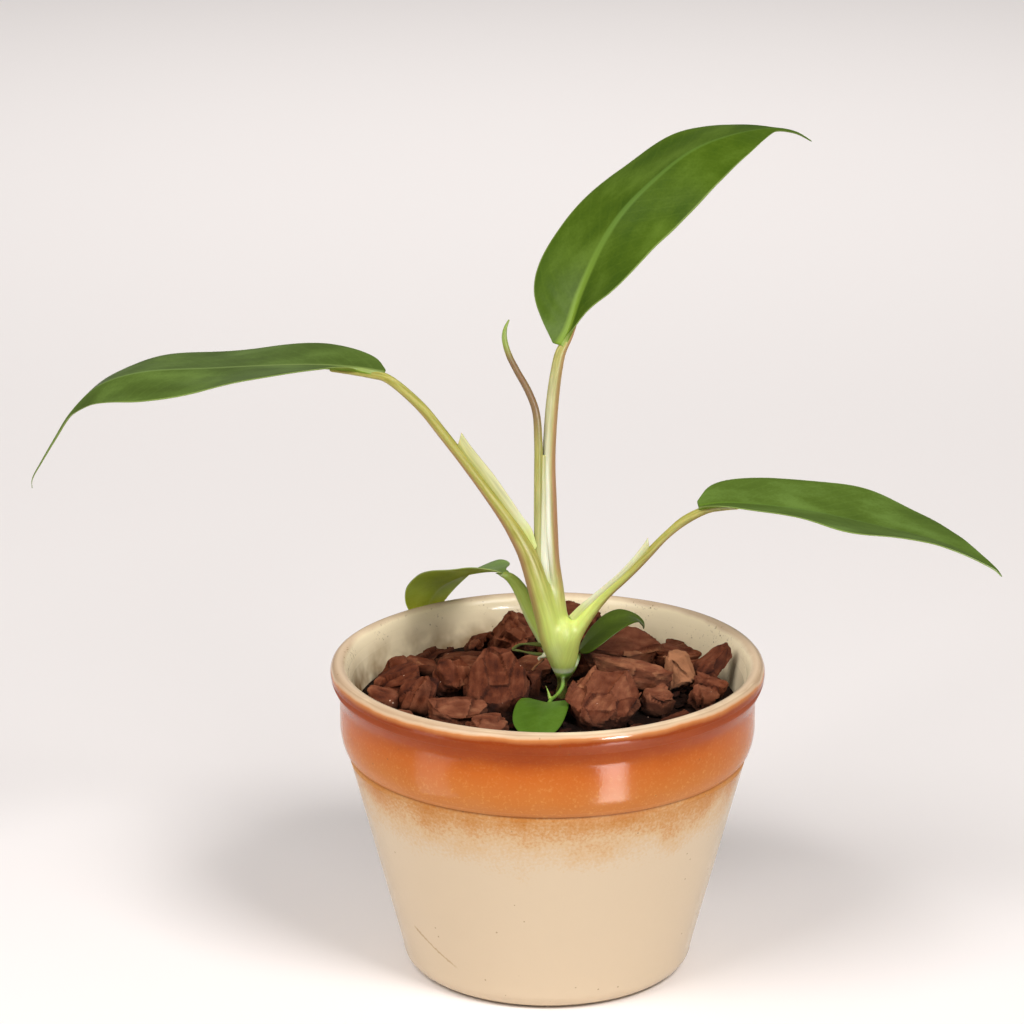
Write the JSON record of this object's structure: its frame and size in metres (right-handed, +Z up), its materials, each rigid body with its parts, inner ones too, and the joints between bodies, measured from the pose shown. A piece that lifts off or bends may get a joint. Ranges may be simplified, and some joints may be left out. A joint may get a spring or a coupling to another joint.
{
  "type": "potted philodendron",
  "caption": "Young philodendron with long pointed leaves on slender stalks, growing from a short crown in bark chips that fill a round pot with a collared rim and two-colour glaze.",
  "frame": {"origin": "centre of the pot's flat base, on the surface that it stands on", "axes": "+Z up, +X to the right and -Y towards the front as the plant is shown; the long leaves reach to -X, to +X and up"},
  "size_m": [0.2888, 0.1312, 0.2501],
  "materials": {
    "pot": "glossy glaze, cream with a burnt orange collar",
    "bark_mix": "loose, rough and dark",
    "bark_chip": "rough, dry red-brown bark",
    "stem": "smooth, pale green",
    "petiole": "smooth, yellow-green with reddish edges",
    "spear": "smooth, brown-green",
    "dried_sheath": "thin, dull",
    "blade": "satin, dark green with a paler midrib"
  },
  "bodies": {
    "root": {"stem": "stem", "tall_leaf_petiole": "petiole", "right_leaf_petiole": "petiole", "new_leaf_spear": "spear", "left_leaf_petiole": "petiole", "small_left_leaf_petiole": "petiole", "small_right_leaf_petiole": "petiole", "front_leaf_petiole": "petiole", "dried_sheath": "dried_sheath", "tall_leaf_blade": "blade", "left_leaf_blade": "blade", "right_leaf_blade": "blade", "small_left_leaf_blade": "blade", "small_right_leaf_blade": "blade", "front_leaf_blade": "blade", "bark_chip_01": "bark_chip", "bark_chip_02": "bark_chip", "bark_chip_03": "bark_chip", "bark_chip_04": "bark_chip", "bark_chip_05": "bark_chip", "bark_chip_06": "bark_chip", "bark_chip_07": "bark_chip", "bark_chip_08": "bark_chip", "bark_chip_09": "bark_chip", "bark_chip_10": "bark_chip", "bark_chip_11": "bark_chip", "bark_chip_12": "bark_chip", "bark_chip_13": "bark_chip", "bark_chip_14": "bark_chip", "bark_chip_15": "bark_chip", "bark_chip_16": "bark_chip", "bark_chip_17": "bark_chip", "bark_chip_18": "bark_chip", "bark_chip_19": "bark_chip", "bark_chip_20": "bark_chip", "bark_chip_21": "bark_chip", "bark_chip_22": "bark_chip", "bark_chip_23": "bark_chip", "bark_chip_24": "bark_chip", "bark_chip_25": "bark_chip", "bark_chip_26": "bark_chip", "bark_chip_27": "bark_chip", "bark_chip_28": "bark_chip", "bark_chip_29": "bark_chip", "bark_chip_30": "bark_chip", "bark_chip_31": "bark_chip", "bark_chip_32": "bark_chip", "bark_chip_33": "bark_chip", "bark_chip_34": "bark_chip", "bark_chip_35": "bark_chip", "bark_chip_36": "bark_chip", "bark_chip_37": "bark_chip", "bark_chip_38": "bark_chip", "bark_chip_39": "bark_chip", "bark_chip_40": "bark_chip", "bark_chip_41": "bark_chip", "bark_chip_42": "bark_chip", "bark_mix": "bark_mix", "pot": "pot"}
  },
  "joints": []
}
